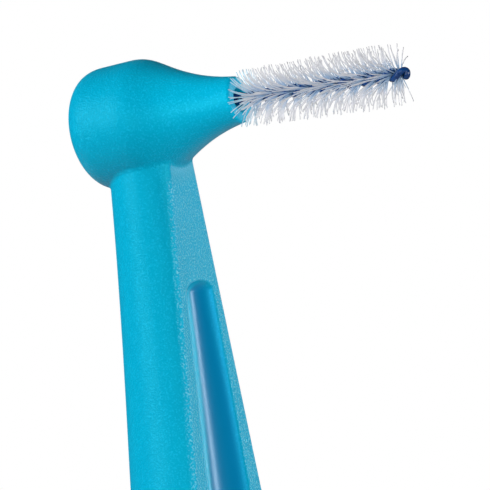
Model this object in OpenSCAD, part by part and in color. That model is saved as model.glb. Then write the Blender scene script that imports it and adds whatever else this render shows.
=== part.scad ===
// Angled interdental brush: a long flat-fronted handle, a domed head with a cone, and a twisted-wire brush.
// Millimetres. +Z runs up the handle, +X is the way the brush points, Y = 0 is the plane of symmetry.
// The origin is the middle of the flat thumb face on the front of the grip.

/* [Handle] */
// Height of the wire's line above the middle of the thumb face
wire_height = 85; // [70:1:100]
// Length of the grip below the middle of the thumb face
grip_below = 66; // [45:1:80]
// Width of the front face where its straight taper reaches the wire's line
neck_top_w = 1.94; // [1.6:0.02:3]
// Width of the grip's front face
grip_w = 10.4; // [9:0.1:12]
// Distance from the front face back to the round section's middle, at the wire's line
neck_middle = 2.08; // [1.8:0.02:2.4]
// Distance from the front face back to the section's middle, in the grip
grip_middle = 1.78; // [1.2:0.02:2]
// Depth of the upper grip
grip_depth = 6.6; // [5.8:0.1:7.5]
// Depth of the grip at its butt end
butt_depth = 4.6; // [3.6:0.1:5.4]
// Distance below the wire's line at which the tapering neck has become the grip
neck_length = 34.6; // [30:0.1:42]
// Rounding of the two long edges of the front face
edge_r = 0.08; // [0.04:0.02:0.3]
// Length of the butt's round end, seen from the front
butt_round = 5.5; // [3:0.5:8]
// Length over which the back runs out at the butt
butt_run_out = 2; // [1:0.25:3]

/* [Finger groove] */
// Distance of the groove's upper end below the wire's line
groove_top = 10; // [8:0.25:16]
// Length of the groove from end to end
groove_length = 37; // [25:0.5:44]
// Width of the groove at its upper end
groove_top_w = 3.2; // [2.4:0.05:3.7]
// Width of the groove at its lower end
groove_low_w = 8; // [4:0.1:8.2]
// Depth of the groove at its upper end
groove_top_depth = 0.5; // [0.3:0.05:0.9]
// Depth of the groove at its lower end
groove_low_depth = 0.95; // [0.6:0.05:1.4]
// Length of the groove's blunt ends, as a share of round ones
groove_end_share = 0.45; // [0.2:0.05:1]

/* [Head] */
// How far the cone's end stands out in front of the front face
nose_reach = 4.52; // [4:0.02:6]
// Length of the domed back
dome_length = 2.2; // [1.6:0.05:2.8]
// Exponent of the dome's superellipse
dome_squareness = 3; // [2.2:0.1:4]
// Diameter of the head at the dome
head_d = 7.22; // [6.6:0.02:8]
// Length of the barrel between the dome and the cone
barrel_length = 2.24; // [1.8:0.02:3]
// Diameter of the head at the shoulder, where the cone begins
shoulder_d = 7.26; // [6.6:0.02:8]
// Length of the cone
cone_length = 6; // [5.4:0.05:7]
// Diameter of the cone's end
nose_d = 2.78; // [2.4:0.02:3.4]
// How far the shoulder runs on before it turns into the cone
shoulder_pull = 0.55; // [0.2:0.05:1.2]
// Length of the cone's slender end
nose_pull = 3.4; // [2.2:0.05:3.8]
// Slope of the slender end, in degrees to a side
nose_slope = 8.3; // [4:0.1:12]
// Rounding of the cone's rim
rim_r = 0.2; // [0.1:0.02:0.35]
// How far the head leans nose up from the wire's line, in degrees
head_tilt = 3.6; // [0:0.1:6]
// Diameter of the hollow in the nose round the wire, at its mouth
recess_d = 1.45; // [1.2:0.05:1.7]
// Depth of the hollow in the nose
recess_depth = 0.6; // [0.3:0.05:1.2]

/* [Wire] */
// Diameter of one coated strand
strand_d = 0.36; // [0.3:0.01:0.42]
// Diameter of the steel inside the coating
core_d = 0.24; // [0.16:0.01:0.27]
// Play between the steel and its coating
core_play = 0.004; // [0.002:0.001:0.01]
// Length of one full turn of the twist
twist_pitch = 1.84; // [1.6:0.02:2.4]
// Depth of the wire's seat in the cone
seat_depth = 3.28; // [2:0.02:4]
// Play around the twisted wire in its seat
seat_play = 0.02; // [0.01:0.01:0.06]
// How far the strand's middle opens out in the closed eye at the tip
eye_spread = 0.02; // [0:0.01:0.08]
// How much longer than round the eye is
eye_stretch = 0.01; // [0:0.01:0.04]

/* [Bristles] */
// Length of wire that carries bristles
brush_length = 10.5; // [8:0.1:14]
// Diameter across the bristle tips next to the cone
brush_near_d = 3.24; // [2.8:0.02:3.6]
// Diameter across the bristle tips at the free end
brush_far_d = 3.46; // [2.8:0.02:3.8]
// Thickness of one filament
filament_d = 0.075; // [0.06:0.005:0.09]
// Number of filaments, each giving two bristles
filament_count = 198; // [150:1:240]
// Clear length of wire between the cone and the first filament
first_gap = 0.14; // [0.12:0.01:0.8]
// Distance from the last filament to the start of the eye
last_gap = 0.11; // [0.06:0.01:0.4]
// How far a bristle leans back towards the cone between its root and its knee
root_lean = 0.2; // [0:0.01:0.26]
// How far a bristle leans back between its knee and its tip
tip_lean = 0.1; // [0:0.01:0.16]
// How far the last bristles lean forward
forward_lean = 0.3; // [0:0.01:0.6]
// Play between a strand and the filaments it grips
grip_play = 0.012; // [0.01:0.001:0.02]

/* [Hidden] */

// Handle
handle_length = wire_height + grip_below;
blend_share = 0.16;
blend_soft = blend_share * (grip_w - neck_top_w);
blend_length = 4 * blend_share * neck_length;
depth_blend_share = 0.13;
depth_soft = depth_blend_share * grip_depth;
neck_steps = 6;
blend_steps = 8;
butt_steps = 8;
butt_last_share = 0.985;
back_steps = 22;
overrun = 1;

// Head
dome_steps = 12;
cone_steps = 16;
rim_steps = 4;
head_r = head_d / 2;
shoulder_r = shoulder_d / 2;
nose_r = nose_d / 2;
barrel_rise = (shoulder_r - head_r) / barrel_length;

// Wire: a six-sided strand has the same section as the round one it stands for
tube_sides = 6;
corner_share = sqrt(PI / (tube_sides / 2 * sin(360 / tube_sides)));
strand_r = strand_d / 2;
helix_r = filament_d / 2 + strand_r + grip_play;
eye_r = helix_r + eye_spread;
eye_reach = eye_r + eye_stretch;
seat_r = helix_r + strand_r * corner_share + seat_play;
wire_start = nose_reach - seat_depth;
first_row = nose_reach + first_gap;
last_row = first_row + brush_length;
eye_start = last_row + last_gap;
rings_per_turn = 10;
leg_rings = ceil((eye_start - wire_start) / twist_pitch * rings_per_turn);
eye_rings = 8;

// Bristles
web_share = 0.62;
web_half = web_share * (helix_r + strand_r * corner_share / 2);
knee_share = 0.36;
spread_a = 137.5;
spread_b = 61.7;
tip_taper_share = 0.85;
fan_share = 0.1;
near_fan_share = 0.1;
length_spread_share = 0.035;
turn_spread = 1.2;

// The smaller of two sizes, with a round corner where they meet
function soft_min(a, b, soft) =
    let (near = max(soft - abs(a - b), 0))
    min(a, b) - near * near / soft / 4;

// A sine or cosine raised to a superellipse's power, with its sign kept
function bulge(share, squareness) = sign(share) * pow(abs(share), 2 / squareness);

// Share of its full size that a round end leaves at a distance from the end
function end_share(left, round_length) =
    left >= round_length ? 1 : sqrt(1 - pow(1 - left / round_length, 2));

// Half the front face's width at a distance below the wire's line
function half_width(down) =
    soft_min(neck_top_w / 2 + down * (grip_w - neck_top_w) / 2 / neck_length, grip_w / 2, blend_soft);

// Distance from the front face back to the section's middle
function middle(down) = neck_middle + (grip_middle - neck_middle) * min(down / neck_length, 1);

// Distance from the section's middle to its back: the neck is round, and the grip flatter
function back_reach(down) =
    soft_min(norm([half_width(down), middle(down)]), grip_depth - middle(down), depth_soft);

// Half the section's greatest width, from the ellipse that has the front face as its chord
function side_reach(down) = half_width(down) / sqrt(1 - pow(middle(down) / back_reach(down), 2));

// Share of its depth that the grip keeps as it thins towards the butt
function thinning(down) =
    1 - (1 - butt_depth / grip_depth) * max(0, down - neck_length) / (handle_length - neck_length);

// Distances below the wire's line at which the handle has a section
neck_stations = [for (i = [0:neck_steps - 1]) (neck_length - blend_length / 2) * i / neck_steps];
blend_stations = [for (i = [0:blend_steps]) neck_length + blend_length * (i / blend_steps - 1 / 2)];
butt_stations = [for (i = [0:butt_steps])
    handle_length - butt_round * (1 - sin(90 * butt_last_share * i / butt_steps))];
handle_stations = concat(neck_stations, blend_stations, butt_stations);

// One section of the handle: an ellipse cut by the flat front, with its two edges taken off
function handle_ring(down) =
    let (left = handle_length - down, z = wire_height - down,
         wide = end_share(left, butt_round), deep = thinning(down) * end_share(left, butt_run_out),
         edge_turn = acos((middle(down) - edge_r / 2) / back_reach(down)))
    concat(
        [[0, wide * (half_width(down) - edge_r), z]],
        [for (i = [0:back_steps])
            let (turn = edge_turn + (360 - 2 * edge_turn) * i / back_steps)
            [deep * (back_reach(down) * cos(turn) - middle(down)), wide * side_reach(down) * sin(turn), z]],
        [[0, wide * (edge_r - half_width(down)), z]]);

// A closed solid through rings of the same count, each listed clockwise when seen along the rings
module skin(rings) {
    count = len(rings[0]);
    last = len(rings) - 1;
    sides = [for (i = [0:last - 1], k = [0:count - 1])
        let (a = i * count + k, b = i * count + (k + 1) % count)
        each [[a, b, b + count], [a, b + count, a + count]]];
    near_cap = [for (k = [1:count - 2]) [0, k + 1, k]];
    far = last * count;
    far_cap = [for (k = [1:count - 2]) [far, far + k, far + k + 1]];
    polyhedron([for (ring = rings) each ring], concat(sides, near_cap, far_cap));
}

module grip_and_neck() {
    skin([for (down = handle_stations) handle_ring(down)]);
}

// Head: outline of the turned head as [radius, place along its axis], from the back of the dome to the nose
dome_outline = [for (i = [0:dome_steps])
    let (turn = 90 * i / dome_steps)
    [head_r * bulge(sin(turn), dome_squareness),
     -cone_length - barrel_length - dome_length * bulge(cos(turn), dome_squareness)]];
cone_start = [shoulder_r, -cone_length];
cone_lead = cone_start + shoulder_pull * [barrel_rise, 1];
cone_end = [nose_r, -rim_r];
cone_trail = cone_end + nose_pull * [tan(nose_slope), -1];
cone_outline = [for (i = [0:cone_steps])
    let (t = i / cone_steps, u = 1 - t)
    u * u * u * cone_start + 3 * u * u * t * cone_lead + 3 * u * t * t * cone_trail + t * t * t * cone_end];
rim_outline = [for (i = [1:rim_steps])
    let (turn = 90 * i / rim_steps)
    [nose_r - rim_r * (1 - cos(turn)), -rim_r * (1 - sin(turn))]];

module at_nose() {
    translate([nose_reach, 0, wire_height]) children();
}

module head() {
    at_nose()
        rotate([0, 90 - head_tilt, 0])
            rotate_extrude($fn = 96)
                polygon(concat(dome_outline, cone_outline, rim_outline, [[0, 0]]));
}

// One end of the groove: a ball whose cap of the given depth has the given width, flattened along the handle
module groove_end(down, width, deep) {
    ball_r = (width * width / 4 + deep * deep) / 2 / deep;
    translate([ball_r - deep, 0, wire_height - down])
        scale([1, 1, groove_end_share]) sphere(r = ball_r, $fn = 64);
}

module groove() {
    hull() {
        groove_end(groove_top + groove_end_share * groove_top_w / 2, groove_top_w, groove_top_depth);
        groove_end(groove_top + groove_length - groove_end_share * groove_low_w / 2,
                   groove_low_w, groove_low_depth);
    }
}

module wire_seat() {
    translate([wire_start, 0, wire_height])
        rotate([0, 90, 0]) cylinder(r = seat_r, h = seat_depth + overrun, $fn = 48);
}

// The hollow that widens from the seat to the nose's end
module recess() {
    widening = (recess_d / 2 - seat_r) / recess_depth;
    translate([nose_reach - recess_depth, 0, wire_height])
        rotate([0, 90, 0])
            cylinder(r1 = seat_r, r2 = recess_d / 2 + widening * overrun, h = recess_depth + overrun, $fn = 48);
}

module handle() {
    color("deepskyblue")
        difference() {
            union() {
                grip_and_neck();
                head();
            }
            groove();
            wire_seat();
            recess();
        }
}

// Twist angle of the first leg at a place along X, and the direction from the axis that it stands for
function twist(x) = -360 * (x - wire_start) / twist_pitch;
function across(turn) = [0, cos(turn), sin(turn)];

// The strand's path: up one leg, round the eye and back down the other, with the outward normal at each point
function leg_place(i) = wire_start + (eye_start - wire_start) * i / leg_rings;
eye_turn = 360 * eye_reach / twist_pitch;
wire_line = [0, 0, wire_height];
first_leg = [for (i = [0:leg_rings]) [leg_place(i), across(twist(leg_place(i)))]];
path_points = concat(
    [for (s = first_leg) [s[0], 0, 0] + helix_r * s[1] + wire_line],
    [for (i = [1:eye_rings - 1])
        let (turn = 180 * i / eye_rings, wide = helix_r + (eye_r - helix_r) * pow(sin(turn), 2))
        [eye_start + eye_reach * sin(turn), 0, 0] + wire_line
            + wide * cos(turn) * across(twist(eye_start) - eye_turn * sin(turn))],
    [for (i = [leg_rings:-1:0]) [first_leg[i][0], 0, 0] - helix_r * first_leg[i][1] + wire_line]);
path_normals = concat(
    [for (s = first_leg) s[1]],
    [for (i = [1:eye_rings - 1])
        let (turn = 180 * i / eye_rings)
        [sin(turn), 0, 0] + cos(turn) * across(twist(eye_start) - eye_turn * sin(turn))],
    [for (i = [leg_rings:-1:0]) -first_leg[i][1]]);
path_last = len(path_points) - 1;

function unit(v) = v / norm(v);

// A ring of the strand's section, square to the path, or to the axis at the two cut ends
function strand_ring(i, radius) =
    let (along = i == 0 ? [1, 0, 0] : i == path_last ? [-1, 0, 0] : unit(path_points[i + 1] - path_points[i - 1]),
         side = unit(cross(along, path_normals[i])),
         out = cross(side, along))
    [for (k = [0:tube_sides - 1])
        let (turn = -360 * (k + 1 / 2) / tube_sides)
        path_points[i] + radius * corner_share * (cos(turn) * out + sin(turn) * side)];

module wire_core() {
    color("silver")
        skin([for (i = [0:path_last]) strand_ring(i, core_d / 2)]);
}

module wire_coating() {
    outer = [for (i = [0:path_last]) each strand_ring(i, strand_r)];
    inner = [for (i = [0:path_last]) each strand_ring(i, core_d / 2 + core_play)];
    far = len(outer);
    wall = [for (i = [0:path_last - 1], k = [0:tube_sides - 1])
        let (a = i * tube_sides + k, b = i * tube_sides + (k + 1) % tube_sides)
        each [[a, b, b + tube_sides], [a, b + tube_sides, a + tube_sides]]];
    lining = [for (face = wall) [face[2] + far, face[1] + far, face[0] + far]];
    ends = [for (k = [0:tube_sides - 1])
        let (a = k, b = (k + 1) % tube_sides, c = path_last * tube_sides + a, d = path_last * tube_sides + b)
        each [[b, a, a + far], [b, a + far, b + far], [c, d, d + far], [c, d + far, c + far]]];
    color("midnightblue")
        polyhedron(concat(outer, inner), concat(wall, lining, ends));
}

// Bristles: the filaments' middles are one twisted web between the strands, and each bristle grows from
// one triangle of the web's edge. A bristle has three sides and one knee.
row_last = filament_count;
function row_place(row) = first_row + brush_length * row / row_last;
// The web lies between the two strands, a quarter turn from either
function web_out(row) = across(twist(row_place(row)) + 90);
function web_side(row) = across(twist(row_place(row)));

web_points = [for (row = [0:row_last])
    let (middle = [row_place(row), 0, 0] + wire_line, out = web_half * web_out(row),
         side = -filament_d / 2 * web_side(row))
    each [middle + out + side, middle + out - side, middle - out - side, middle - out + side]];

// How far back towards the cone the bristles of a row lean, as a share of their full lean: little at the
// cone, all of it along the brush, and forward at the free end
function lean_share(row) =
    let (share = row / row_last)
    share < fan_share ? near_fan_share + (1 - near_fan_share) * share / fan_share : 1;
function forward_share(row) =
    max(0, (row / row_last - 1 + fan_share) / fan_share);

// A small uneven spread, the same every time
function spread(index) = sin(index * spread_a) * cos(index * spread_b);

function bristle_points(row, end) =
    let (index = 2 * row + end,
         base = end == 0 ? [4 * row, 4 * row + 1, 4 * row + 4] : [4 * row + 2, 4 * row + 3, 4 * row + 6],
         corners = [for (i = base) web_points[i]],
         root = (corners[0] + corners[1] + corners[2]) / 3,
         out = (end == 0 ? 1 : -1)
             * across(twist(row_place(row + 1 / 2)) + 90 + turn_spread * spread(index)),
         full = brush_near_d / 2 + (brush_far_d - brush_near_d) / 2 * row / row_last,
         reach = full * (1 - length_spread_share * (1 + spread(index + row_last)) / 2),
         forward = forward_lean * forward_share(row),
         knee = [forward * knee_share - root_lean * lean_share(row), 0, 0]
             + (web_half + knee_share * (reach - web_half)) * out,
         tip = [forward - (root_lean + tip_lean) * lean_share(row), 0, 0] + reach * out,
         axis_point = [row_place(row + 1 / 2), 0, 0] + wire_line)
    concat(
        [for (corner = corners) axis_point + knee + corner - root],
        [for (corner = corners) axis_point + tip + tip_taper_share * (corner - root)]);

web_end = 4 * row_last;
web_faces = concat(
    [for (row = [0:row_last - 1])
        let (a = 4 * row)
        each [[a + 1, a + 2, a + 6], [a + 1, a + 6, a + 5], [a + 3, a, a + 4], [a + 3, a + 4, a + 7],
              [a + 1, a + 5, a + 4], [a + 3, a + 7, a + 6]]],
    [[0, 3, 2], [0, 2, 1], [web_end, web_end + 1, web_end + 2], [web_end, web_end + 2, web_end + 3]]);

function bristle_faces(row, end) =
    let (a = 4 * row,
         base = end == 0 ? [a, a + 1, a + 4] : [a + 2, a + 3, a + 6],
         first = len(web_points) + 6 * (2 * row + end),
         knee = [first, first + 1, first + 2],
         tip = knee + [3, 3, 3])
    concat(
        [for (k = [0:2]) let (n = (k + 1) % 3)
            each [[base[k], base[n], knee[n]], [base[k], knee[n], knee[k]],
                  [knee[k], knee[n], tip[n]], [knee[k], tip[n], tip[k]]]],
        [tip]);

module bristles() {
    points = concat(web_points, [for (row = [0:row_last - 1], end = [0, 1]) each bristle_points(row, end)]);
    faces = concat(web_faces, [for (row = [0:row_last - 1], end = [0, 1]) each bristle_faces(row, end)]);
    color("lavender")
        polyhedron(points, faces);
}

handle();
wire_core();
wire_coating();
bristles();
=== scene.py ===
import math

import bpy
import numpy as np
from mathutils import Matrix, Vector


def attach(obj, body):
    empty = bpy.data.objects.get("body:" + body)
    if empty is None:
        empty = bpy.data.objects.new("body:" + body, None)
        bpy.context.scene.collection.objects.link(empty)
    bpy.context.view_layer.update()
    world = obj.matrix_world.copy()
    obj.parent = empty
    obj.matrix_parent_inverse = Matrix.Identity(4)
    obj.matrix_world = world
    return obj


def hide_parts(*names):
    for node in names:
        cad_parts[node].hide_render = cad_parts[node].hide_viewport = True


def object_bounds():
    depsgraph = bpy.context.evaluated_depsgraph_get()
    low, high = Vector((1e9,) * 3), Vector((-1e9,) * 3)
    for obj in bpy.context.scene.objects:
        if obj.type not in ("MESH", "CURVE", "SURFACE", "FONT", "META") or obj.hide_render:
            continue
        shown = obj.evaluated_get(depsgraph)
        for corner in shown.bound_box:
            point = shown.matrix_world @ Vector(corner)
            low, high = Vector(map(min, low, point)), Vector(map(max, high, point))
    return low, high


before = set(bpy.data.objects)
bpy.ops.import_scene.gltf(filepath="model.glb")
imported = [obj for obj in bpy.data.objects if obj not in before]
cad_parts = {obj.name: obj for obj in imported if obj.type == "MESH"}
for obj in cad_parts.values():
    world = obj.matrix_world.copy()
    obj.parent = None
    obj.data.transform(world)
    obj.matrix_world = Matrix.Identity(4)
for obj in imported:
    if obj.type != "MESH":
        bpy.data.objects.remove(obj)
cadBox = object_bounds()
mm = 0.001  # every size below is in millimetres, and a mesh is written in metres
print("frame loaded:", sorted(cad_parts))


# Small tools

# A number of stations from start to end whose gaps follow the wanted gap at each place:
# one over the gap is summed along the way, and the stations stand at equal steps of that sum
def stations(start, end, gap, count=None):
    samples = 4000
    place = np.linspace(start, end, samples)
    weight = 1 / gap(place)
    summed = np.concatenate([[0], np.cumsum((weight[1:] + weight[:-1]) / 2)])
    total = summed * abs(end - start) / (samples - 1)
    steps = count or int(math.ceil(total[-1]))
    return np.interp(np.linspace(0, total[-1], steps + 1), total, place)


# A gap between stations that changes evenly from place to place, given as place: gap
def gapTable(gaps):
    return lambda place: np.interp(place, list(gaps), list(gaps.values()))


# 0 before low, 1 after high, and a smooth S between them
def smoothStep(low, high, value):
    share = np.clip((value - low) / (high - low), 0, 1)
    return share * share * (3 - 2 * share)


# The smaller of two sizes, with a round corner where they meet
def softMin(a, b, soft):
    near = np.maximum(soft - np.abs(a - b), 0)
    return np.minimum(a, b) - near * near / soft / 4


# Two distance fields joined, with a fillet of the given radius in the crease
def roundUnion(a, b, radius):
    inward = np.hypot(np.maximum(radius - a, 0), np.maximum(radius - b, 0))
    return np.maximum(radius, np.minimum(a, b)) - inward


# What two distance fields share, with the edge between them rounded
def roundCommon(a, b, radius):
    outward = np.hypot(np.maximum(radius + a, 0), np.maximum(radius + b, 0))
    return np.minimum(-radius, np.maximum(a, b)) + outward


# A mesh from a grid of points in millimetres. Columns go round; each end is drawn together in a pole,
# which is the mean of its ring unless a place is given
def ringMesh(name, grid, firstPole=None, lastPole=None):
    rings, columns = grid.shape[:2]
    firstPole = grid[0].mean(0) if firstPole is None else firstPole
    lastPole = grid[-1].mean(0) if lastPole is None else lastPole
    points = np.concatenate([grid.reshape(-1, 3), [firstPole, lastPole]]) * mm
    i = np.arange(rings - 1)[:, None] * columns
    k = np.arange(columns)[None, :]
    n = (k + 1) % columns
    quads = np.stack([i + k, i + n, i + n + columns, i + k + columns], -1).reshape(-1, 4)
    k, n = k[0], n[0]
    first, last = rings * columns, rings * columns + 1
    fans = np.concatenate([np.stack([n, k, np.full(columns, first)], -1),
                           np.stack([k + first - columns, n + first - columns, np.full(columns, last)], -1)])
    return newPiece(name, points, quads.tolist() + fans.tolist())


# A smooth-shaded mesh from points in metres and faces as rows of point numbers
def newPiece(name, points, faces):
    mesh = bpy.data.meshes.new(name)
    mesh.from_pydata(points, [], faces)
    mesh.polygons.foreach_set("use_smooth", np.ones(len(mesh.polygons), bool))
    mesh.validate()
    piece = bpy.data.objects.new(name, mesh)
    bpy.context.scene.collection.objects.link(piece)
    return piece


# A number at each point of a piece, which its material reads by name
def pointAttribute(piece, name, values):
    piece.data.attributes.new(name, "FLOAT", "POINT").data.foreach_set("value", values.astype(np.float32))


# Gives a piece its one material; the slot is not used. A new piece also rides on the body and replaces CAD
# nodes
def dress(piece, material, slot, *nodes):
    piece.data.materials.clear()
    piece.data.materials.append(material)
    if nodes:
        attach(piece, "root")
        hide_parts(*nodes)


# An sRGB hex colour as linear red, green, blue and alpha
def colour(hexText):
    srgb = np.array([int(hexText[i:i + 2], 16) for i in (1, 3, 5)]) / 255
    return (*np.where(srgb <= 0.04045, srgb / 12.92, ((srgb + 0.055) / 1.055) ** 2.4), 1)


# Adds a node: inputs are values or other nodes' sockets, settings are the node's own
def addNode(tree, kind, inputs=None, **settings):
    node = tree.nodes.new(kind)
    for name, value in settings.items():
        setattr(node, name, value)
    for key, value in (inputs or {}).items():
        if isinstance(value, bpy.types.NodeSocket):
            tree.links.new(value, node.inputs[key])
        else:
            node.inputs[key].default_value = value
    return node


# A material with an empty node tree
def newMaterial(name):
    material = bpy.data.materials.new(name)
    material.use_nodes = True
    material.node_tree.nodes.clear()
    return material, material.node_tree


# Handle: head, neck and grip in one moulding

handleShape = {  # mm; noseSlope and headTilt in degrees; shares and squareness are plain numbers
    "wireHeight": 85, "gripBelow": 66,
    "neckTopWidth": 1.94, "gripWidth": 10.4, "neckMiddle": 2.08, "gripMiddle": 1.78, "gripDepth": 6.6,
    "buttDepth": 4.6, "neckLength": 34.6, "edgeRadius": 0.08, "buttRound": 5.5, "buttRunOut": 2,
    "blendShare": 0.16, "depthBlendShare": 0.13,
    "grooveTop": 10, "grooveLength": 37, "grooveTopWidth": 3.2, "grooveLowWidth": 8,
    "grooveTopDepth": 0.5, "grooveLowDepth": 0.95, "grooveEndShare": 0.45, "grooveRim": 0.08,
    "noseReach": 4.52, "domeLength": 2.2, "domeSquareness": 3, "headDiameter": 7.22, "barrelLength": 2.24,
    "shoulderDiameter": 7.26, "coneLength": 6, "noseDiameter": 2.78, "shoulderPull": 0.55,
    "nosePull": 3.4, "noseSlope": 8.3, "rimRadius": 0.2, "headTilt": 3.6, "neckFillet": 0.16,
    "recessDiameter": 1.45, "recessDepth": 0.6, "recessFloor": 0.85, "recessRim": 0.04,
    "rimLimitShare": 0.88, "shoulderSoft": 0.9, "shoulderFade": 2.2, "buttPole": -0.02,
}
handleLength = handleShape["wireHeight"] + handleShape["gripBelow"]


# The handle's section at a distance below the wire's line: half the flat front's width, the distance back
# to the section's middle, the reach from there to the back, and half the greatest width. The front tapers
# straight and turns softly into the parallel grip. The reach is the radius of the circle through the
# front's two edges, hypot(half, middle), until the grip's depth caps it, and then the section is the
# ellipse through those edges
def section(down):
    s = handleShape
    down = np.clip(down, 0, handleLength)
    soft = s["blendShare"] * (s["gripWidth"] - s["neckTopWidth"])
    slope = (s["gripWidth"] - s["neckTopWidth"]) / 2 / s["neckLength"]
    half = softMin(s["neckTopWidth"] / 2 + down * slope, s["gripWidth"] / 2, soft)
    middle = s["neckMiddle"] + (s["gripMiddle"] - s["neckMiddle"]) * np.minimum(down / s["neckLength"], 1)
    reach = softMin(np.hypot(half, middle), s["gripDepth"] - middle, s["depthBlendShare"] * s["gripDepth"])
    return half, middle, reach, half / np.sqrt(1 - (middle / reach) ** 2)


# Shares of the width and of the depth that are left at a distance below the wire's line: quarter ellipses at
# the butt's end, and a grip that thins evenly on its way there
def endShares(down):
    s = handleShape
    left = np.maximum(handleLength - down, 0)
    wide, deep = (np.sqrt(np.clip(1 - np.clip(1 - left / s[end], 0, 1) ** 2, 1e-8, 1))
                  for end in ("buttRound", "buttRunOut"))
    run = np.maximum(0, down - s["neckLength"]) / (handleLength - s["neckLength"])
    return wide, deep * (1 - (1 - s["buttDepth"] / s["gripDepth"]) * run)


# Outline of the turned head as places along its axis and radii, from the back of the dome to the nose:
# a superellipse, a straight barrel, a cubic curve down the cone and a quarter round at the rim. Round the
# shoulder the radius is a mean over a short way along the axis, which takes the crease out of the sheen
def headOutline():
    s = handleShape
    headR, shoulderR, noseR = s["headDiameter"] / 2, s["shoulderDiameter"] / 2, s["noseDiameter"] / 2
    shoulder = -s["coneLength"]
    barrelStart = shoulder - s["barrelLength"]
    turn = np.linspace(0, np.pi / 2, 400)
    power = 2 / s["domeSquareness"]
    dome = np.stack([barrelStart - s["domeLength"] * np.cos(turn) ** power,
                     headR * np.sin(turn) ** power], -1)
    rise = (shoulderR - headR) / s["barrelLength"]
    barrel = np.linspace([barrelStart, headR], [shoulder, shoulderR], 80)[1:-1]
    knots = np.array([
        [shoulder, shoulderR],
        [shoulder + s["shoulderPull"], shoulderR + s["shoulderPull"] * rise],
        [-s["rimRadius"] - s["nosePull"], noseR + s["nosePull"] * math.tan(math.radians(s["noseSlope"]))],
        [-s["rimRadius"], noseR]])
    t = np.linspace(0, 1, 400)[:, None]
    cone = (1 - t) ** 3 * knots[0] + 3 * (1 - t) ** 2 * t * knots[1] \
        + 3 * (1 - t) * t * t * knots[2] + t ** 3 * knots[3]
    rim = np.stack([-s["rimRadius"] * (1 - np.sin(turn)), noseR - s["rimRadius"] * (1 - np.cos(turn))], -1)
    places, radii = np.concatenate([dome, barrel, cone, rim[1:]]).T
    step = np.linspace(-1, 1, 41)
    near = np.interp(places[:, None] + s["shoulderSoft"] * step, places, radii)
    mean = (near * (1 - np.abs(step))).sum(1) / (1 - np.abs(step)).sum()
    share = smoothStep(s["shoulderFade"] * s["shoulderSoft"], s["shoulderSoft"], np.abs(places - shoulder))
    return np.stack([places, radii + (mean - radii) * share], -1)


outline = headOutline()
outlineSlope = np.gradient(outline[:, 1]) / np.maximum(np.gradient(outline[:, 0]), 1e-9)
outlineCos = 1 / np.hypot(1, outlineSlope)


# Distance to the head: how far a point stands out of the turned outline, square to its slope, and at least
# its distance to the cylinder that holds the head
def headField(p):
    s = handleShape
    tilt = math.radians(s["headTilt"])
    x, z = p[..., 0] - s["noseReach"], p[..., 2] - s["wireHeight"]
    along = x * math.cos(tilt) + z * math.sin(tilt)
    radius = np.hypot(p[..., 1], z * math.cos(tilt) - x * math.sin(tilt))
    places, radii = outline.T
    out = (radius - np.interp(along, places, radii)) * np.interp(along, places, outlineCos)
    out = np.maximum(out, radius - radii.max())
    return np.maximum(out, np.maximum(along, places[0] - along))


# Distance to the neck and grip: the section's ellipse cut by the flat front, with rounded edges
def neckField(p):
    down = handleShape["wireHeight"] - p[..., 2]
    half, middle, reach, side = section(down)
    wide, deep = endShares(down)
    x, y = p[..., 0] / deep + middle, p[..., 1] / wide
    share = np.maximum(np.hypot(x / reach, y / side), 1e-6)
    out = (share - 1) * np.hypot(x * deep, y * wide) / share
    return np.maximum(roundCommon(out, p[..., 0], handleShape["edgeRadius"]), -down)


# Distance to the hollow round the wire: a cone that widens to the nose's end, with a flat floor
def recessField(p):
    s = handleShape
    x = p[..., 0] - s["noseReach"] + s["recessDepth"]
    slope = (s["recessDiameter"] - s["recessFloor"]) / 2 / s["recessDepth"]
    wall = np.hypot(p[..., 1], p[..., 2] - s["wireHeight"]) - s["recessFloor"] / 2 - x * slope
    return np.maximum(wall / math.hypot(1, slope), -x)


# Places of the groove's two end balls below the wire's line, their radii and how far their centres stand
# in front of the face: a ball whose cap has the end's width w and depth d has the radius (w^2/4 + d^2) / 2d
def grooveEnds():
    s = handleShape
    width = np.array([s["grooveTopWidth"], s["grooveLowWidth"]])
    deep = np.array([s["grooveTopDepth"], s["grooveLowDepth"]])
    ends = s["grooveTop"] + np.array([0, s["grooveLength"]])
    down = ends + np.array([1, -1]) * s["grooveEndShare"] * width / 2
    ball = (width ** 2 / 4 + deep ** 2) / 2 / deep
    return down, ball, ball - deep


# Distance to the groove's tool: a tapering round bar whose ends are balls flattened along the handle. With
# k0 = |p / r| and k1 = |p / r^2| for the ball's radii r, the distance is about k0 (k0 - 1) / k1
def grooveField(p):
    ends, balls, centres = grooveEnds()
    down = handleShape["wireHeight"] - p[..., 2]
    ball = np.interp(down, ends, balls)
    off = np.hypot(p[..., 0] - np.interp(down, ends, centres), p[..., 1])
    over = (down - np.clip(down, ends[0], ends[1])) / handleShape["grooveEndShare"]
    size = np.maximum(np.hypot(off, over), 1e-6)
    slope = np.hypot(off, over / handleShape["grooveEndShare"]) / size
    return (size - ball) / slope


# Distance to the whole moulding: head and neck joined, less the hollow round the wire and less the groove
def handleField(p):
    s = handleShape
    body = roundUnion(headField(p), neckField(p), s["neckFillet"])
    body = roundCommon(body, -recessField(p), s["recessRim"])
    return roundCommon(body, -grooveField(p), s["grooveRim"])


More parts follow.
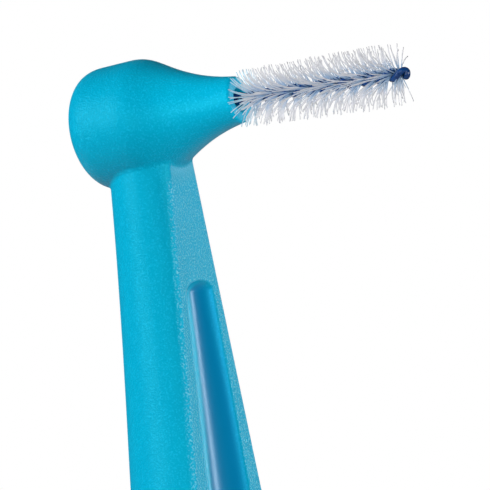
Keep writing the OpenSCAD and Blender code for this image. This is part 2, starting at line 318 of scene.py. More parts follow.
# Where a column of the neck's grid aims, for a column place of 0 to 4: 0 to 1 is the groove, 1 to 2 the face
# beside it, 2 to 3 the rounded edge and 3 to 4 the flank and back
def columnAim(column, down):
    s = handleShape
    half, middle, reach, side = section(down)
    wide, deep = endShares(down)
    edge = s["edgeRadius"]
    rim = np.interp(down, grooveEnds()[0], [s["grooveTopWidth"] / 2, s["grooveLowWidth"] / 2])
    rim = np.minimum(rim, s["rimLimitShare"] * (half - edge))
    edgeTurn = np.arccos((middle - edge / 2) / reach)
    turn = edgeTurn + (np.pi - edgeTurn) * np.clip(column - 3, 0, 1)
    y = np.where(column < 1, column * rim, rim + np.clip(column - 1, 0, 1) * (half - edge - rim))
    y = np.where(column > 2, half - edge + (column - 2) * (side * np.sin(edgeTurn) - half + edge), y)
    y = np.where(column > 3, side * np.sin(turn), y)
    x = np.where(column > 2, (2 - column) * edge / 2, 0)
    x = np.where(column > 3, reach * np.cos(turn) - middle, x)
    return x * deep, y * wide


handleMesh = {  # the grid: angles and their steps in degrees, and places and steps in mm
    "halfColumns": 112, "top": 89, "steep": -70, "rimStep": 0.36, "widerStep": 2.3, "neckStep": 0.15,
    "headLift": -22, "neckLift": -52, "levelAbove": 0.3, "backTurn": 6, "buttRings": 25, "buttTurn": 0.995,
    "neckTop": 3.2, "farAim": 6, "farReach": 12.0,
}


# The handle's grid. From a centre in the head the rays go out to all sides, and below the head the rays'
# centre goes down the neck while they turn level. Each point is where its ray leaves the solid
def handleGrid():
    s, m = handleShape, handleMesh
    centreX = -s["neckMiddle"]
    nose = math.degrees(math.atan2(s["noseDiameter"] / 2, s["noseReach"] - centreX))
    fine, steep, top = m["rimStep"], m["steep"], m["top"]
    headTurn = np.radians(stations(
        0, 180, lambda a: fine + m["widerStep"] * smoothStep(nose + 1, nose + 12, a), m["halfColumns"]))
    # columns of the neck, close together at the groove's rim and round the back
    place = stations(0, 4, gapTable({0: 0.05, 0.8: 0.04, 0.93: 0.018, 1.07: 0.03, 1.2: 0.1, 1.9: 0.1, 2: 0.12,
                                     3: 0.12, 3.1: 0.02, 3.5: 0.016, 4: 0.016}), m["halfColumns"])
    # head rings turn from the top down to steep rays into the neck, close together on the nose
    lift = stations(top, steep, gapTable({steep: 0.55, m["neckLift"]: 0.55, m["neckLift"] + 4: 1.3,
                                          -nose - 8: 1.5, -nose - 1: fine, nose + 1: fine, nose + 8: 1.9,
                                          top: 2.2}))
    rise = np.tan(np.radians(lift))
    ringZ = np.zeros_like(lift)
    # then the centre goes down, and the front ends of the rays with it, until the rays are level
    frontStart = -centreX * math.tan(math.radians(steep))
    levelAt = -s["grooveTop"] + m["levelAbove"]
    front = stations(frontStart, levelAt, lambda z: m["neckStep"] + 0 * z)[1:]
    level = (front - frontStart) / (levelAt - frontStart) * levelAt
    # below that the rings are close together only at the groove's ends and round the butt
    grooveTop, grooveEnd = s["grooveTop"], s["grooveTop"] + s["grooveLength"]
    buttStart = handleLength - s["buttRound"]
    downs = stations(-levelAt, buttStart, gapTable({
        grooveTop - m["levelAbove"]: 0.04, grooveTop + 1.2: 0.05, grooveTop + 3: 0.4, grooveEnd - 5: 0.9,
        grooveEnd - 1.2: 0.1, grooveEnd + 0.4: 0.1, grooveEnd + 3: 1.5, buttStart: 3}))[1:]
    buttTurn = np.linspace(0, np.pi / 2, m["buttRings"] + 1)[1:] * m["buttTurn"]
    butt = handleLength - s["buttRound"] * (1 - np.sin(buttTurn))
    downs = np.concatenate([downs, butt])
    ringZ = np.concatenate([ringZ, level, -downs])
    rise = np.concatenate([rise, (front - level) / -centreX, 0 * downs])
    lift = np.degrees(np.arctan(rise))
    depth = (section(-ringZ)[1] + section(-ringZ)[2]) * endShares(-ringZ)[1]
    # once level, the rays' centre moves over to the middle of the section's depth
    ringX = centreX + (-depth / 2 - centreX) * smoothStep(-levelAt, m["backTurn"] - levelAt, -ringZ)
    # azimuth of every ray: the head's own spread above, the neck's edges below
    wanted = np.full((len(ringZ), m["halfColumns"] + 1), 4.0)
    for _ in range(4):  # the aim's height depends on its distance, which settles in a few rounds
        down = -(ringZ[:, None] + wanted * rise[:, None])
        x, y = columnAim(place[None, :], np.maximum(down, m["neckTop"]))
        wanted = np.minimum(np.hypot(x - ringX[:, None], y), m["farAim"])
    neckTurn = np.arctan2(y, x - ringX[:, None])
    share = smoothStep(m["headLift"], m["neckLift"], lift)[:, None]
    share = np.where(ringZ[:, None] < 0, 1, share)
    turn = headTurn * (1 - share) + neckTurn * share
    turn = np.concatenate([turn, -turn[:, -2:0:-1]], 1)
    liftAngle = np.radians(lift)[:, None]
    ray = np.stack([np.cos(liftAngle) * np.cos(turn), np.cos(liftAngle) * np.sin(turn),
                    np.sin(liftAngle) + 0 * turn], -1)
    start = np.stack([ringX, 0 * ringX, s["wireHeight"] + ringZ], -1)[:, None, :]
    near, far = np.zeros(turn.shape), np.full(turn.shape, m["farReach"])
    for _ in range(32):  # halving finds where each ray leaves the solid
        middle = (near + far) / 2
        inside = handleField(start + middle[..., None] * ray) < 0
        near, far = np.where(inside, middle, near), np.where(inside, far, middle)
    return start + near[..., None] * ray


# The tones below set where the groove's painted shade comes in, and lit where painted light lies on its left
# wall
finishAndPaintedLightShape = {  # distances in mm, tones as shares of the groove's depth
    "grooveEdge": 0.05, "faceFrom": -0.16, "faceTo": -0.02, "faceTop": 3.6, "faceFull": 4.6, "sideSoft": 0.6,
    "toneStart": 0.8, "toneStartDrop": 0.15, "toneFull": 0.93, "toneTopExtra": 0.25, "lowFrom": 2,
    "lowTo": 14, "rightDrop": 0.03, "rightLowDrop": 0.35, "rightLowTo": 8, "litFrom": -0.5, "litTo": 2,
}


# Where the handle's finishes and its painted light and shade lie, as shares from 0 to 1: the polished
# groove, the painted shade in it, the painted light on its left wall and the flat face. The painted shade
# sets in with the groove's depth, early on the right side and only near the floor on the left, where the
# wall is painted light, as pale as the face
def finishAndPaintedLightAreas(points):
    s, f = handleShape, finishAndPaintedLightShape
    down = s["wireHeight"] - points[:, 2]
    inGroove = smoothStep(f["grooveEdge"], 0.0, np.abs(grooveField(points)))
    onFace = smoothStep(f["faceFrom"], f["faceTo"], points[:, 0]) \
        * smoothStep(f["faceTop"], f["faceFull"], down)
    grooveDepth = np.interp(down, grooveEnds()[0], [s["grooveTopDepth"], s["grooveLowDepth"]])
    below = down - s["grooveTop"]
    rightSide = smoothStep(-f["sideSoft"], f["sideSoft"], points[:, 1])
    low = smoothStep(f["lowFrom"], f["lowTo"], below)
    toneStart = (f["toneStart"] - f["toneStartDrop"] * low) * (1 - rightSide)
    toneFull = f["toneFull"] + f["toneTopExtra"] * (1 - low) * (1 - rightSide) \
        - rightSide * (f["rightDrop"] + f["rightLowDrop"] * smoothStep(0, f["rightLowTo"], below))
    # painted shade, darker with the depth into the groove
    paintedGrooveShade = smoothStep(toneStart, toneFull, -points[:, 0] / grooveDepth)
    # painted light on the groove's left wall, where the painted shade is weak
    paintedWallLight = inGroove * (1 - paintedGrooveShade) * (1 - rightSide) * smoothStep(f["litFrom"], f["litTo"], below)
    return {"polish": inGroove, "paintedGrooveShade": inGroove * paintedGrooveShade, "paintedWallLight": paintedWallLight,
            "frontFace": onFace * (1 - inGroove)}


grid = handleGrid()
handlePiece = ringMesh("handleMoulding", grid,
                       lastPole=[handleShape["buttPole"], 0, -handleShape["gripBelow"]])
points = np.array([v.co for v in handlePiece.data.vertices]) / mm
for name, values in finishAndPaintedLightAreas(points).items():
    pointAttribute(handlePiece, name, values)
print("handle:", grid.shape, len(handlePiece.data.polygons), "faces")


# Wire: one coated strand, doubled and twisted

wireShape = {  # mm, and counts of rings and sides
    "strandDiameter": 0.36, "filamentDiameter": 0.075, "gripPlay": 0.012, "twistPitch": 1.84,
    "seatDepth": 3.28, "eyeSpread": 0.02, "eyeStretch": 0.01, "brushLength": 10.5, "firstGap": 0.14,
    "lastGap": 0.11, "ringsPerTurn": 32, "eyeRings": 36, "sides": 16,
}
wireStart = handleShape["noseReach"] - wireShape["seatDepth"]
firstRow = handleShape["noseReach"] + wireShape["firstGap"]
lastRow = firstRow + wireShape["brushLength"]
eyeStart = lastRow + wireShape["lastGap"]
helixR = wireShape["filamentDiameter"] / 2 + wireShape["strandDiameter"] / 2 + wireShape["gripPlay"]


# Twist angle at a place along X, left-handed: one turn back for each pitch
def twist(x):
    return -2 * np.pi * (x - wireStart) / wireShape["twistPitch"]


# The direction across the wire's axis at an angle round it
def across(turn):
    return np.stack([0 * turn, np.cos(turn), np.sin(turn)], -1)


# A strand's centreline: a helix out, half a turn round the closed eye, and the opposite helix back
def strandPath():
    s = wireShape
    out = np.linspace(wireStart, eyeStart, int((eyeStart - wireStart) / s["twistPitch"] * s["ringsPerTurn"]))
    alongX = np.array([1.0, 0, 0])
    eyeR = helixR + s["eyeSpread"]
    reach = eyeR + s["eyeStretch"]
    turn = np.linspace(0, np.pi, s["eyeRings"])[1:-1, None]
    sideways = across(twist(eyeStart) - 2 * np.pi * reach / s["twistPitch"] * np.sin(turn[:, 0]))
    eye = (eyeStart + reach * np.sin(turn)) * alongX \
        + (helixR + (eyeR - helixR) * np.sin(turn) ** 2) * np.cos(turn) * sideways
    leg = across(twist(out))
    first, second = out[:, None] * alongX + helixR * leg, out[:, None] * alongX - helixR * leg
    path = np.concatenate([first, eye, second[::-1]])
    normal = np.concatenate([leg, np.sin(turn) * alongX + np.cos(turn) * sideways, -leg[::-1]])
    return path + [0, 0, handleShape["wireHeight"]], normal


# A round tube along a path: rings square to the path, their radius given at each point
def tubeGrid(path, normal, radius, sides):
    along = np.gradient(path, axis=0)
    along /= np.linalg.norm(along, axis=1)[:, None]
    side = np.cross(along, normal)
    side /= np.linalg.norm(side, axis=1)[:, None]
    out = np.cross(side, along)
    turn = 2 * np.pi * np.arange(sides) / sides
    ring = np.cos(turn)[:, None] * out[:, None, :] - np.sin(turn)[:, None] * side[:, None, :]
    return path[:, None, :] + np.broadcast_to(radius, len(path))[:, None, None] * ring


path, normal = strandPath()
wireGrid = tubeGrid(path, normal, wireShape["strandDiameter"] / 2, wireShape["sides"])
wirePiece = ringMesh("wireCoating", wireGrid)
print("wire:", len(wirePiece.data.polygons), "faces")


# Bristles

bristleShape = {  # mm; turnSpread and turnNoise in degrees, bend in radians; shares, powers and counts
    "filaments": 340, "diameter": 0.066, "tipShare": 0.8, "taperFrom": 0.7, "rootShare": 0.03,
    "nearDiameter": 3.42, "farDiameter": 3.8, "startShare": 0.055, "rowNoise": 0.02, "coneGap": 0.1,
    "lean": 0.75, "leanPower": 1.5, "leanSpread": 0.08, "turnSpread": 52, "turnNoise": 5,
    "evenStep": 0.618034, "pairStep": 0.37, "lengthSpread": 0.08, "bend": 0.06,
    "forwardLean": 0.85, "forwardPower": 1.5, "fanShare": 0.07, "fanSpread": 0.4, "fanShorter": 0.04,
    # where the painted shade near the wire and the painted see-through blue over the cone fade out, in mm
    "blueFrom": 0.3, "blueTo": 1.2, "coneBlueFrom": 0.2, "coneBlueTo": 1.2,
    "sides": 6, "rings": 8, "seed": 11,
}


# Each bristle is a thin curved tube from the wire's middle out. Its place along X leans back towards the cone
# quickly at first and then turns square to the wire, as 1 - (1 - t)^power, and the last ones lean forward. A
# filament's two ends stand on opposite sides of the twisted wire; an even series spreads each side's ends
# over a fan, so that no two neighbours point the same way, and a little chance is added to each value
def bristleGrids():
    s = bristleShape
    chance = np.random.default_rng(s["seed"])
    filament = np.repeat(np.arange(s["filaments"]), 2)
    end = np.tile([0, 1], s["filaments"])
    share = (filament + 0.5) / s["filaments"]
    count = len(share)
    place = s["startShare"] + (1 - s["startShare"]) * share
    x0 = firstRow + place * wireShape["brushLength"] + chance.normal(0, s["rowNoise"], count)
    even = (filament * s["evenStep"] + s["pairStep"] * end) % 1 * 2 - 1
    turn = twist(x0) + np.pi / 2 + np.pi * end \
        + np.radians(even * s["turnSpread"] + chance.normal(0, s["turnNoise"], count))
    reach = (s["nearDiameter"] + (s["farDiameter"] - s["nearDiameter"]) * share) / 2
    reach = reach * (1 - s["lengthSpread"] * chance.random(count))
    lean = s["lean"] + chance.normal(0, s["leanSpread"], count)
    lean = np.minimum(lean, x0 - handleShape["noseReach"] - s["coneGap"])
    forward = np.clip((share - 1 + s["fanShare"]) / s["fanShare"], 0, 1) ** s["forwardPower"]
    forward = s["forwardLean"] * forward
    lean = lean - forward * (1 - s["fanSpread"] + 2 * s["fanSpread"] * chance.random(count))
    reach = reach * (1 - s["fanShorter"] * forward / s["forwardLean"])
    bend = chance.normal(0, s["bend"], count)
    t = np.linspace(0, 1, s["rings"])
    along = x0[:, None] - lean[:, None] * (1 - (1 - t) ** s["leanPower"])
    radial = reach[:, None] * (s["rootShare"] + (1 - s["rootShare"]) * t)
    angle = turn[:, None] + bend[:, None] * t ** 2
    centre = along[..., None] * np.array([1.0, 0, 0]) + radial[..., None] * across(angle)
    centre = centre + [0, 0, handleShape["wireHeight"]]
    tangent = np.gradient(centre, axis=1)
    tangent /= np.linalg.norm(tangent, axis=-1, keepdims=True)
    side = np.cross(tangent, [1.0, 0, 0])
    side /= np.linalg.norm(side, axis=-1, keepdims=True)
    other = np.cross(tangent, side)
    width = s["diameter"] / 2 * np.interp(t, [0, s["taperFrom"], 1], [1, 1, s["tipShare"]])
    ring = 2 * np.pi * (np.arange(s["sides"]) + 0.5) / s["sides"]
    shape = np.cos(ring)[:, None] * side[..., None, :] + np.sin(ring)[:, None] * other[..., None, :]
    return centre[..., None, :] + width[None, :, None, None] * shape, np.repeat(radial, s["sides"])


# Many small tubes in one mesh, each closed by a flat cap at its tip and its root
def manyTubes(name, tubes):
    count, rings, sides = tubes.shape[:3]
    base = np.arange(count)[:, None] * rings * sides
    ring = base[..., None] + np.arange(rings - 1)[None, :, None] * sides
    k = np.arange(sides)[None, None, :]
    n = (k + 1) % sides
    walls = np.stack([ring + k, ring + n, ring + n + sides, ring + k + sides], -1).reshape(-1, 4)
    rootCap = base + np.arange(sides)[::-1]
    tipCap = base + (rings - 1) * sides + np.arange(sides)
    return newPiece(name, tubes.reshape(-1, 3) * mm, walls.tolist() + rootCap.tolist() + tipCap.tolist())


tubes, fromAxis = bristleGrids()
fromNose = tubes[..., 0].ravel() - handleShape["noseReach"]
bristlePiece = manyTubes("bristleFilaments", tubes)
# share of painted shade and see-through blue of the wire, near the wire
pointAttribute(bristlePiece, "paintedWireShade",
               smoothStep(bristleShape["blueTo"], bristleShape["blueFrom"], fromAxis))
# share of painted see-through blue of the cone, over the cone
pointAttribute(bristlePiece, "paintedConeShowThrough",
               smoothStep(bristleShape["coneBlueTo"], bristleShape["coneBlueFrom"], fromNose))
bristlePiece.visible_shadow = False  # clear nylon this thin casts next to no shadow
print("bristles:", bristleShape["filaments"] * 2, "of", len(bristlePiece.data.polygons), "faces in all")


# Materials

# Polypropylene moulded in a spark-eroded tool: a fine random grain in the bump breaks the highlight, and
# tiny pale sparkles of painted highlight follow the grain in the colour, faint on the head and flank and
# clear on the flat face, where a pale painted sheen with painted glints lies over the colour too. The groove
# was polished in the tool: smooth and glossy, its tone deepened by painted shade, with painted light on its
# left wall. The colour is a clean cyan with next to no red in it, so the gloss is tinted too. The grain is
# drawn about twice as coarse as the real one, so that it shows
def handlePlastic():
    look = {
        # Of these colours, the sparkle and the face's two pale ones are painted glints and a painted sheen,
        # the wall one is painted light on the groove's left wall, and the dark polished one is painted shade
        # in the groove
        "cyan": "#00A2C4", "cyanDeep": "#009CC0", "paintedSparkle": "#28D2FA", "paintedFaceSheen": "#1CB6E0",
        "paintedFaceGlint": "#98EAFC", "wall": "#3CD6F8", "polished": "#007FB0", "tint": "#48EEF8",
        "polishedTint": "#20B8FF",
        "sparkleShare": 0.26, "fleckShare": 0.8, "grainFrom": 0.5, "grainTo": 0.72, "grainMm": 0.11,
        "grainDepthMm": 0.12, "flankGrain": 0.28, "faceGrain": 1.0, "cloudMm": 2.5, "ior": 1.49,
        "roughness": 0.33, "polishedRoughness": 0.27, "gloss": 0.5, "faceGloss": 0.7, "polishedGloss": 0.6,
    }
    material, tree = newMaterial("sparkErodedPolypropylene")
    place = addNode(tree, "ShaderNodeTexCoord").outputs["Object"]
    # deep and lit bring in the groove's painted shade and the painted light on its left wall
    polish, face, deep, lit = (addNode(tree, "ShaderNodeAttribute", attribute_name=name).outputs["Fac"]
                               for name in ("polish", "frontFace", "paintedGrooveShade", "paintedWallLight"))
    grain = addNode(tree, "ShaderNodeTexNoise", {"Vector": place, "Scale": 1 / (look["grainMm"] * mm),
                                                 "Detail": 1.0, "Roughness": 0.5})
    cloud = addNode(tree, "ShaderNodeTexNoise", {"Vector": place, "Scale": 1 / (look["cloudMm"] * mm),
                                                 "Detail": 2.0})
    # shares of the painted sparkle highlight and of the face's painted glints, both following the grain
    paintedSparkle, paintedFaceGlint = (addNode(tree, "ShaderNodeMapRange", {
        "Value": grain.outputs["Fac"], "From Min": look["grainFrom"], "From Max": look["grainTo"],
        "To Max": look[share]}).outputs[0] for share in ("sparkleShare", "fleckShare"))
    # the flat face's painted sheen, with paler painted glints where the grain is high
    pale = addNode(tree, "ShaderNodeMix", {0: paintedFaceGlint, 6: colour(look["paintedFaceSheen"]), 7: colour(look["paintedFaceGlint"])},
                   data_type="RGBA")
    tint = addNode(tree, "ShaderNodeMix", {0: cloud.outputs["Fac"], 6: colour(look["cyan"]),
                                           7: colour(look["cyanDeep"])}, data_type="RGBA")
    # painted sparkle highlights, then the face's painted sheen and glints, the groove's painted light on its
    # left wall and its painted shade are laid over the cyan in turn
    for share, over in ((paintedSparkle, colour(look["paintedSparkle"])), (face, pale.outputs[2]),
                        (lit, colour(look["wall"])), (deep, colour(look["polished"]))):
        tint = addNode(tree, "ShaderNodeMix", {0: share, 6: tint.outputs[2], 7: over}, data_type="RGBA")
    rough = addNode(tree, "ShaderNodeMapRange", {"Value": polish, "To Min": look["roughness"],
                                                 "To Max": look["polishedRoughness"]})
    gloss = addNode(tree, "ShaderNodeMapRange", {"Value": face, "To Min": look["gloss"],
                                                 "To Max": look["faceGloss"]})
    gloss = addNode(tree, "ShaderNodeMapRange", {"Value": polish, "To Min": gloss.outputs[0],
                                                 "To Max": look["polishedGloss"]})
    sheen = addNode(tree, "ShaderNodeMix", {0: polish, 6: colour(look["tint"]),
                                            7: colour(look["polishedTint"])}, data_type="RGBA")
    relief = addNode(tree, "ShaderNodeMapRange", {"Value": face, "To Min": look["flankGrain"],
                                                  "To Max": look["faceGrain"]})
    unpolished = addNode(tree, "ShaderNodeMath", {0: 1.0, 1: polish}, operation="SUBTRACT")
    relief = addNode(tree, "ShaderNodeMath", {0: relief.outputs[0], 1: unpolished.outputs[0]},
                     operation="MULTIPLY")
    bump = addNode(tree, "ShaderNodeBump", {"Height": grain.outputs["Fac"], "Strength": relief.outputs[0],
                                            "Distance": look["grainDepthMm"] * mm})
    shader = addNode(tree, "ShaderNodeBsdfPrincipled", {
        "Base Color": tint.outputs[2], "Roughness": rough.outputs[0], "Normal": bump.outputs[0],
        "IOR": look["ior"], "Specular Tint": sheen.outputs[2], "Specular IOR Level": gloss.outputs[0]})
    addNode(tree, "ShaderNodeOutputMaterial", {"Surface": shader.outputs[0]})
    return material


# Coloured polymer drawn over the wire as a thin tight skin: deep blue, wet-looking gloss
def wireCoating():
    look = {"navy": "#071A40", "blue": "#134A8E", "waveMm": 0.25, "waveDepthMm": 0.01, "waveShare": 0.3,
            "roughness": 0.1, "ior": 1.5}
    material, tree = newMaterial("extrudedPolyurethaneCoating")
    place = addNode(tree, "ShaderNodeTexCoord").outputs["Object"]
    wave = addNode(tree, "ShaderNodeTexNoise", {"Vector": place, "Scale": 1 / (look["waveMm"] * mm),
                                                "Detail": 1.0})
    tint = addNode(tree, "ShaderNodeMix", {0: wave.outputs["Fac"], 6: colour(look["navy"]),
                                           7: colour(look["blue"])}, data_type="RGBA")
    bump = addNode(tree, "ShaderNodeBump", {"Height": wave.outputs["Fac"], "Strength": look["waveShare"],
                                            "Distance": look["waveDepthMm"] * mm})
    shader = addNode(tree, "ShaderNodeBsdfPrincipled", {
        "Base Color": tint.outputs[2], "Roughness": look["roughness"], "Normal": bump.outputs[0],
        "IOR": look["ior"]})
    addNode(tree, "ShaderNodeOutputMaterial", {"Surface": shader.outputs[0]})
    return material


# Stainless steel wire, drawn: fine lines along it; it shows only at the cut ends
def drawnSteel():
    look = {"steel": "#C9CBCE", "lineMm": 0.05, "smooth": 0.22, "rough": 0.38}
    material, tree = newMaterial("drawnStainlessSteel")
    place = addNode(tree, "ShaderNodeTexCoord").outputs["Object"]
    lines = addNode(tree, "ShaderNodeTexNoise", {"Vector": place, "Scale": 1 / (look["lineMm"] * mm),
                                                 "Detail": 2.0})
    rough = addNode(tree, "ShaderNodeMapRange", {"Value": lines.outputs["Fac"], "To Min": look["smooth"],
                                                 "To Max": look["rough"]})
    shader = addNode(tree, "ShaderNodeBsdfPrincipled", {"Base Color": colour(look["steel"]), "Metallic": 1.0,
                                                        "Roughness": rough.outputs[0]})
    addNode(tree, "ShaderNodeOutputMaterial", {"Surface": shader.outputs[0]})
    return material


# Clear nylon filament, drawn: milky and translucent, so that it takes on what is behind it. It is a pale grey
# against white; near the dark blue wire it is painted bluish, as painted shade and the wire seen through it,
# and over the cone it is painted pale blue, as the cone seen through it
def nylonFilament():
    look = {"pale": "#C9C9CC", "milk": "#BBBCC1", "paintedWireShade": "#7F9CB8", "paintedConeShowThrough": "#A8C8D6",
            "streakMm": 0.3, "roughness": 0.3, "ior": 1.3, "clear": 0.25}
    material, tree = newMaterial("drawnNylonFilament")
    place = addNode(tree, "ShaderNodeTexCoord").outputs["Object"]
    streak = addNode(tree, "ShaderNodeTexNoise", {"Vector": place, "Scale": 1 / (look["streakMm"] * mm),
                                                  "Detail": 1.0})
    tint = addNode(tree, "ShaderNodeMix", {0: streak.outputs["Fac"], 6: colour(look["pale"]),
                                           7: colour(look["milk"])}, data_type="RGBA")
    # painted shade and see-through blue of the wire near it, then painted see-through blue of the cone
    for name in ("paintedWireShade", "paintedConeShowThrough"):
        share = addNode(tree, "ShaderNodeAttribute", attribute_name=name).outputs["Fac"]
        tint = addNode(tree, "ShaderNodeMix", {0: share, 6: tint.outputs[2], 7: colour(look[name])},
                       data_type="RGBA")
    shader = addNode(tree, "ShaderNodeBsdfPrincipled", {
        "Base Color": tint.outputs[2], "Roughness": look["roughness"], "IOR": look["ior"],
        "Transmission Weight": look["clear"]})
    addNode(tree, "ShaderNodeOutputMaterial", {"Surface": shader.outputs[0]})
    return material


dress(handlePiece, handlePlastic(), "handle_plastic", "handle")
dress(wirePiece, wireCoating(), "coating_plastic", "wire_coating")
dress(bristlePiece, nylonFilament(), "bristle_nylon", "bristles")
dress(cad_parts["wire_core"], drawnSteel(), "wire_steel")
print("materials done")


# Camera at the photograph's viewing angle

photoView = {  # degrees and mm; aimAt and imagePixels in pixels of the photograph's frame
    "azimuth": 29.71, "elevation": 0.65, "roll": 8.386, "distance": 300, "mmPerPixel": 0.0577,
    "aim": (4.02, 0, 85), "aimAt": (232.74, 100.34), "imagePixels": 490, "filmWidth": 36,
}


# The camera stands at its distance from the point it aims at, and is shifted square to its line of sight
# until that point falls on its pixel
def placeCamera():
    s = photoView
    a, e, roll = (math.radians(s[k]) for k in ("azimuth", "elevation", "roll"))
    right = np.array([math.cos(a), math.sin(a), 0])
    back = np.array([math.sin(a) * math.cos(e), -math.cos(a) * math.cos(e), math.sin(e)])
    up = np.cross(back, right)
    rolledRight = right * math.cos(roll) - up * math.sin(roll)
    rolledUp = right * math.sin(roll) + up * math.cos(roll)
    aim = np.array(s["aim"])
    middle = s["imagePixels"] / 2
    place = aim + back * s["distance"] - rolledRight * (s["aimAt"][0] - middle) * s["mmPerPixel"] \
        + rolledUp * (s["aimAt"][1] - middle) * s["mmPerPixel"]
    camera = bpy.data.cameras.new("camera")
    camera.sensor_width = s["filmWidth"]
    camera.lens = s["filmWidth"] * s["distance"] / (s["imagePixels"] * s["mmPerPixel"])
    camera.clip_start, camera.clip_end = 0.01, 20
    thing = bpy.data.objects.new("camera", camera)
    bpy.context.scene.collection.objects.link(thing)
    axes = np.stack([rolledRight, rolledUp, back], 1)
    thing.matrix_world = Matrix([[*row, p * mm] for row, p in zip(axes, place)] + [[0, 0, 0, 1]])
    bpy.context.scene.camera = thing
    return rolledRight, rolledUp, back, aim


right, up, back, aim = placeCamera()


# Floor, light and background

lampDistance = 600  # mm
lampSet = {  # degrees to the right of the camera's line of sight and above it; width and height in mm; watts
    "softLeft": {"turn": -82, "lift": 20, "size": (300, 280), "power": 3.55, "mirrored": False},
    "sheenLeft": {"turn": -66, "lift": 6, "size": (90, 400), "power": 0.95, "mirrored": True},
    "sheenTop": {"turn": -45, "lift": 24, "size": (560, 70), "power": 0.12, "mirrored": True},
    "softFront": {"turn": -15, "lift": 2, "size": (320, 200), "power": 0.5, "mirrored": True},
    "softRight": {"turn": 48, "lift": 0, "size": (430, 280), "power": 3.0, "mirrored": True},
    "stripRight": {"turn": 127, "lift": 3, "size": (60, 300), "power": 0.6, "mirrored": True},
    "softBack": {"turn": 185, "lift": 14, "size": (420, 300), "power": 2.6, "mirrored": False},
}
spotLook = {  # as above; the aim's place and the lamp's size in mm, the beam in degrees
    "turn": -30, "lift": 4, "aim": (3.3, 0, 85.2), "size": 1, "beam": 1.05, "power": 3.6,
}


# A lamp of either kind that looks at a target from a direction round the camera's line of sight
def newLamp(name, kind, lamp, target):
    light = bpy.data.lights.new(name, kind)
    light.energy = lamp["power"]
    thing = bpy.data.objects.new(name, light)
    bpy.context.scene.collection.objects.link(thing)
    turn, lift = math.radians(lamp["turn"]), math.radians(lamp["lift"])
    way = Vector(math.sin(turn) * math.cos(lift) * right + math.sin(lift) * up
                 + math.cos(turn) * math.cos(lift) * back)
    thing.location = target + way * lampDistance * mm
    thing.rotation_euler = way.to_track_quat("Z", "Y").to_euler()
    return light, thing


# Soft area lamps. Two of them, at the left and behind, give light but no mirror image, so that they draw
# neither a wide pale patch nor a bright rim; the narrow sheen lamps draw the highlights instead
for name, lamp in lampSet.items():
    light, thing = newLamp(name, "AREA", lamp, Vector(aim * mm))
    light.shape, light.size, light.size_y = "RECTANGLE", lamp["size"][0] * mm, lamp["size"][1] * mm
    thing.visible_camera = False
    thing.visible_glossy = lamp["mirrored"]

# A small spot with a soft-edged beam that lights the end of the cone and the brush's root
light, thing = newLamp("spot", "SPOT", spotLook, Vector(spotLook["aim"]) * mm)
light.shadow_soft_size = spotLook["size"] * mm
light.spot_size, light.spot_blend = math.radians(spotLook["beam"]), 1


# The background is white to the camera and through clear things. As light it is dim and fades overhead, and
# what the plastic mirrors of it is dimmer still, so that the moulding's edges keep their colour
def studioWorld():
    look = {"level": 0.08, "overhead": 0.05, "fadeFrom": 0.15, "fadeTo": 0.8, "mirrorShare": 0.3}
    world = bpy.data.worlds.new("studio")
    bpy.context.scene.world = world
    world.use_nodes = True
    tree = world.node_tree
    tree.nodes.clear()
    way = addNode(tree, "ShaderNodeLightPath")
    seen = addNode(tree, "ShaderNodeMath", {0: way.outputs["Is Camera Ray"],
                                            1: way.outputs["Is Transmission Ray"]}, operation="MAXIMUM")
    direction = addNode(tree, "ShaderNodeTexCoord").outputs["Generated"]
    height = addNode(tree, "ShaderNodeSeparateXYZ", {0: direction})
    fade = addNode(tree, "ShaderNodeMapRange", {
        "Value": height.outputs["Z"], "From Min": look["fadeFrom"], "From Max": look["fadeTo"],
        "To Min": look["level"], "To Max": look["overhead"]}, interpolation_type="SMOOTHSTEP")
    mirror = addNode(tree, "ShaderNodeMapRange", {"Value": way.outputs["Is Glossy Ray"], "To Min": 1.0,
                                                  "To Max": look["mirrorShare"]})
    level = addNode(tree, "ShaderNodeMath", {0: fade.outputs[0], 1: mirror.outputs[0]}, operation="MULTIPLY")
    plain = addNode(tree, "ShaderNodeBackground", {"Color": (1, 1, 1, 1), "Strength": level.outputs[0]})
    white = addNode(tree, "ShaderNodeBackground", {"Color": (1, 1, 1, 1), "Strength": 1.0})
    mixed = addNode(tree, "ShaderNodeMixShader", {0: seen.outputs[0], 1: plain.outputs[0],
                                                  2: white.outputs[0]})
    addNode(tree, "ShaderNodeOutputWorld", {"Surface": mixed.outputs[0]})


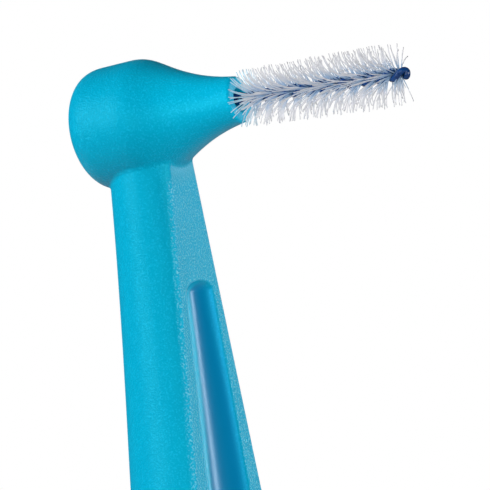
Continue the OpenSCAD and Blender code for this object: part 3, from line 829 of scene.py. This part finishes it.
# A round matte pale sheet. Only to the camera it looks brighter than the lamps make it, as a sheet lit from
# below does, and far from the object it goes over into the white background
def paleFloor():
    look = {"radius": 1200, "sides": 64, "grey": "#9C9C9C", "glow": 0.62, "fadeFrom": 200, "fadeTo": 800}
    mesh = bpy.data.meshes.new("floor")
    turn = np.linspace(0, 2 * np.pi, look["sides"] + 1)[:-1]
    radius = look["radius"] * mm
    corners = np.stack([radius * np.cos(turn), radius * np.sin(turn), 0 * turn + cadBox[0].z], -1)
    mesh.from_pydata(corners, [], [list(range(look["sides"]))])
    floor = bpy.data.objects.new("floor", mesh)
    bpy.context.scene.collection.objects.link(floor)
    material, tree = newMaterial("plainPaleFloor")
    place = addNode(tree, "ShaderNodeTexCoord").outputs["Object"]
    away = addNode(tree, "ShaderNodeVectorMath", {0: place}, operation="LENGTH")
    far = addNode(tree, "ShaderNodeMapRange", {
        "Value": away.outputs["Value"], "From Min": look["fadeFrom"] * mm, "From Max": look["fadeTo"] * mm},
        interpolation_type="SMOOTHSTEP")
    nothing = addNode(tree, "ShaderNodeEmission", {"Strength": 0.0})
    matte = addNode(tree, "ShaderNodeBsdfDiffuse", {"Color": colour(look["grey"])})
    shader = addNode(tree, "ShaderNodeMixShader", {0: far.outputs[0], 1: matte.outputs[0],
                                                   2: nothing.outputs[0]})
    level = addNode(tree, "ShaderNodeMapRange", {"Value": far.outputs[0], "To Min": look["glow"],
                                                 "To Max": 1.0})
    glow = addNode(tree, "ShaderNodeEmission", {"Color": (1, 1, 1, 1), "Strength": level.outputs[0]})
    seen = addNode(tree, "ShaderNodeLightPath").outputs["Is Camera Ray"]
    glow = addNode(tree, "ShaderNodeMixShader", {0: seen, 1: nothing.outputs[0], 2: glow.outputs[0]})
    sheet = addNode(tree, "ShaderNodeAddShader", {0: shader.outputs[0], 1: glow.outputs[0]})
    addNode(tree, "ShaderNodeOutputMaterial", {"Surface": sheet.outputs[0]})
    mesh.materials.append(material)


studioWorld()
paleFloor()
bpy.context.scene.view_settings.view_transform = "Standard"
print("camera, lamps and floor done")
